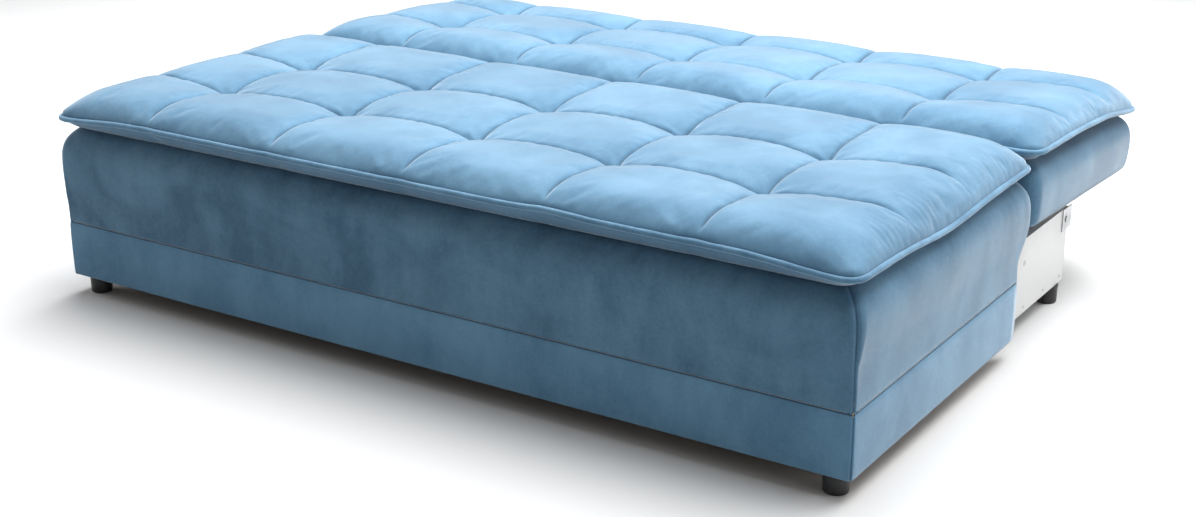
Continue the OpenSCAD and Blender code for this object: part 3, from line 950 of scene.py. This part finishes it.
def make_back_body():
    # height, half width, front, rear and corner radius
    girth = [(0.2475, 0.9260, 0.1180, 0.7130, 0.024), (0.2510, 0.9345, 0.1085, 0.7230, 0.028),
             (0.2620, 0.9425, 0.0995, 0.7350, 0.032), (0.2830, 0.9460, 0.0962, 0.7420, 0.034),
             (0.3150, 0.9475, 0.0955, 0.7430, 0.034), (0.3420, 0.9455, 0.0965, 0.7395, 0.034),
             (0.3620, 0.9370, 0.1030, 0.7300, 0.032), (0.3750, 0.9230, 0.1150, 0.7160, 0.030),
             (0.3830, 0.9000, 0.1320, 0.6980, 0.030)]
    bottom, top = girth[0][0], girth[-1][0]
    hem_height, flat_top = bottom + 0.0003, top + 0.0005
    shape = bmesh.new()
    ring = None
    levels = 30
    for level in range(levels + 1):
        z = bottom + level / levels * (top - bottom)
        half, front, rear, corner = between(girth, z)
        row = []
        for x, y in outline(half, front, rear, corner, 60, 190):
            push = body_push(x, y, z, half, front, corner, 0.0, min(1, level / 4))
            row.append(Vector((x, y, z))
                       + outward(x, y, half, front, corner, y > rear - corner) * push)
        ring = next_ring(shape, ring, row)
        if level == 0:
            lowest = ring
    centre_y = 0.415
    highest = ring
    for share in (0.97, 0.85):
        row = [Vector((v.co.x * share, centre_y + (v.co.y - centre_y) * share, flat_top))
               for v in highest]
        ring = next_ring(shape, ring, row)
    shape.faces.new(ring)
    hem = [Vector((v.co.x * 0.966, centre_y + (v.co.y - centre_y) * 0.90, hem_height))
           for v in lowest]
    next_ring(shape, lowest, hem)
    cut_slots(shape, hem_height, flat_top)
    bmesh.ops.recalc_face_normals(shape, faces=shape.faces)
    bmesh.ops.transform(shape, matrix=tilt, verts=shape.verts)
    body = as_object("backrest_body", shape, body_velvet)
    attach(body, "backrest")
    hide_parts("back_body_cover", "back_foam")


def cut_along(shape, place, normal):
    """Adds edges where a plane crosses the shape."""
    everything = shape.verts[:] + shape.edges[:] + shape.faces[:]
    bmesh.ops.bisect_plane(shape, geom=everything, plane_co=place, plane_no=normal, dist=1e-5)


def cut_slots(shape, bottom, top):
    """Opens both hinge slots in the front and lower faces and lines them with cloth."""
    mid_height = 0.32
    for x in (-slot_outer, -slot_inner, slot_inner, slot_outer):
        cut_along(shape, (x, 0, 0), (1, 0, 0))
    for side in (-1, 1):
        gone = []
        for face in shape.faces:
            middle = face.calc_center_median()
            inside = slot_inner < side * middle.x < slot_outer
            if inside and middle.y < slot_rear and middle.z < top - 0.0004:
                gone.append(face)
        bmesh.ops.delete(shape, geom=gone, context="FACES")
        for x in (slot_inner, slot_outer):
            rim = [v for v in shape.verts if abs(v.co.x - side * x) < 1e-4
                   and v.co.y < slot_rear and v.is_boundary and v.co.z < top + 0.001]
            rim.sort(key=lambda v: math.atan2(v.co.z - mid_height, v.co.y - slot_rear) % math.tau)
            far = [shape.verts.new((side * x, slot_rear, z)) for z in (bottom, top - 0.001)]
            shape.faces.new(rim + far)


make_back_body()


# ---- Dust cover ----
# Black spun cloth under the backrest, stapled to the board over the velvet's edge
# and cut out round the hinge slots.

def make_spun_cloth():
    """Thin black spunbond: a quilted bonding pattern and a slight shine."""
    material, tree, shader = new_material("black spun cloth", {"Specular IOR Level": 0.25})
    place = object_vector(tree)
    dot = new_node(tree, "ShaderNodeTexVoronoi", inputs={"Scale": 420.0, "Randomness": 0.25},
                   Vector=place).outputs["Distance"]
    fibre = noise_value(tree, place, 260.0, 4.0, 0.7)
    black = mixed(tree, mapped(tree, fibre, 0.35, 0.65), (0.018, 0.018, 0.020),
                  (0.042, 0.042, 0.045))
    feed(tree, shader, black, mapped(tree, dot, 0.1, 0.6, 0.55, 0.85), dot, 0.4, 0.0005)
    return material


spun_cloth = make_spun_cloth()


def make_dust_cover():
    half, front, rear = 0.898, 0.122, 0.714
    height = 0.2462
    spare = 0.004
    cut_rear = slot_rear + 0.003
    shape = bmesh.new()
    bmesh.ops.create_grid(shape, x_segments=120, y_segments=44, size=1)
    for v in shape.verts:
        v.co = (v.co.x * half, front + (v.co.y + 1) / 2 * (rear - front), height)
    for x in (-slot_outer - spare, -slot_inner + spare, slot_inner - spare, slot_outer + spare):
        cut_along(shape, (x, 0, 0), (1, 0, 0))
    cut_along(shape, (0, cut_rear, 0), (0, 1, 0))
    gone = [f for f in shape.faces if slot_inner < abs(f.calc_center_median().x) < slot_outer
            and f.calc_center_median().y < cut_rear]
    bmesh.ops.delete(shape, geom=gone, context="FACES")
    for v in shape.verts:
        x, y = v.co.x, v.co.y
        edge = min(half - abs(x), y - front, rear - y)
        v.co.z -= 0.0016 * ramp(edge, 0, 0.12) + wobble(x, y, 0, 0.09, 0.0006)
        v.co.z += 0.0009 * math.cos(x * math.tau / 0.06) * bell(edge, 0.018)
    for face in shape.faces:
        face.normal_update()
        if face.normal.z > 0:
            face.normal_flip()
    bmesh.ops.transform(shape, matrix=tilt, verts=shape.verts)
    cover = as_object("backrest_dust_cover", shape, spun_cloth)
    thick = cover.modifiers.new("Cloth thickness", "SOLIDIFY")
    thick.thickness = 0.0006
    thick.offset = -1
    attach(cover, "backrest")
    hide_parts("back_dust_cover")


make_dust_cover()


# ---- Backrest pad ----
# The same pillow pad as on the seat, quilted to line up with it, with its own
# piping.  The rear corners droop a little over the body.

back_front, back_rear = 0.0885, 0.743
back_rows = [0.304, 0.557]


def back_nose(x, y):
    """Height of the backrest's piping before the tilt, dropping at the rear corners."""
    level = 0.4115
    level += 0.0045 * bell(y - 0.33, 0.16)
    level -= 0.0185 * ramp(abs(x), 0.74, 0.94) * ramp(y, 0.50, 0.74)
    return level


back_pad = make_pad_top("backrest_pillow_pad", back_front, back_rear, back_rows, 0.4620,
                        back_nose, pad_velvet)
back_edge = close_pad(back_pad, back_front, back_rear, back_rows, 0.3865)
back_piping = make_piping("backrest_edge_piping", piping_path(back_edge, back_front, back_rear),
                          piping_radius)
for piece, node in ((back_pad, "back_pad"), (back_piping, "back_piping")):
    piece.data.transform(tilt)
    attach(piece, "backrest")
    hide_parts(node)


# ---- Room ----
# A plain pale floor, a large soft light overhead, a wide one to the right and a
# faint one to the left, and the camera.

floor_material, floor_tree, floor_shader = new_material("pale floor", {
    "Specular IOR Level": 0.1, "Roughness": 0.9})
cloudy = noise_value(floor_tree, object_vector(floor_tree), 0.8, 2.0)
floor_tree.links.new(mixed(floor_tree, cloudy, (0.63, 0.63, 0.63), (0.65, 0.65, 0.65)),
                     floor_shader.inputs["Base Color"])
floor_shape = bmesh.new()
bmesh.ops.create_grid(floor_shape, x_segments=4, y_segments=4, size=20)
floor = as_object("floor", floor_shape, floor_material, False)


def soft_light(name, place, target, size, power):
    data = bpy.data.lights.new(name, "AREA")
    data.shape = "RECTANGLE"
    data.size, data.size_y = size
    data.energy = power
    lamp = bpy.data.objects.new(name, data)
    lamp.location = place
    lamp.rotation_euler = (Vector(target) - Vector(place)).to_track_quat("-Z", "Y").to_euler()
    scene.collection.objects.link(lamp)


soft_light("overhead softbox", (0.2, 1.1, 3.4), (0, 0.2, 0.3), (5.2, 4.0), 500)
soft_light("right softbox", (4.4, 0.9, 1.7), (0.6, 0.0, 0.3), (2.4, 1.8), 46)
soft_light("left softbox", (-4.2, -1.2, 2.0), (-0.6, -0.3, 0.3), (2.0, 1.6), 40)

world = bpy.data.worlds.new("studio")
world.use_nodes = True
world.node_tree.nodes["Background"].inputs["Color"].default_value = (0.93, 0.96, 1.0, 1)
world.node_tree.nodes["Background"].inputs["Strength"].default_value = 0.26
scene.world = world
scene.view_settings.view_transform = "Standard"

camera_data = bpy.data.cameras.new("camera")
camera_data.lens = 53.81
camera_data.sensor_width = 36
camera = bpy.data.objects.new("camera", camera_data)
camera.location = (2.056, -3.234, 1.403)
camera.rotation_euler = (math.radians(90 - 19.568), 0, math.radians(32.895))
scene.collection.objects.link(camera)
scene.camera = camera
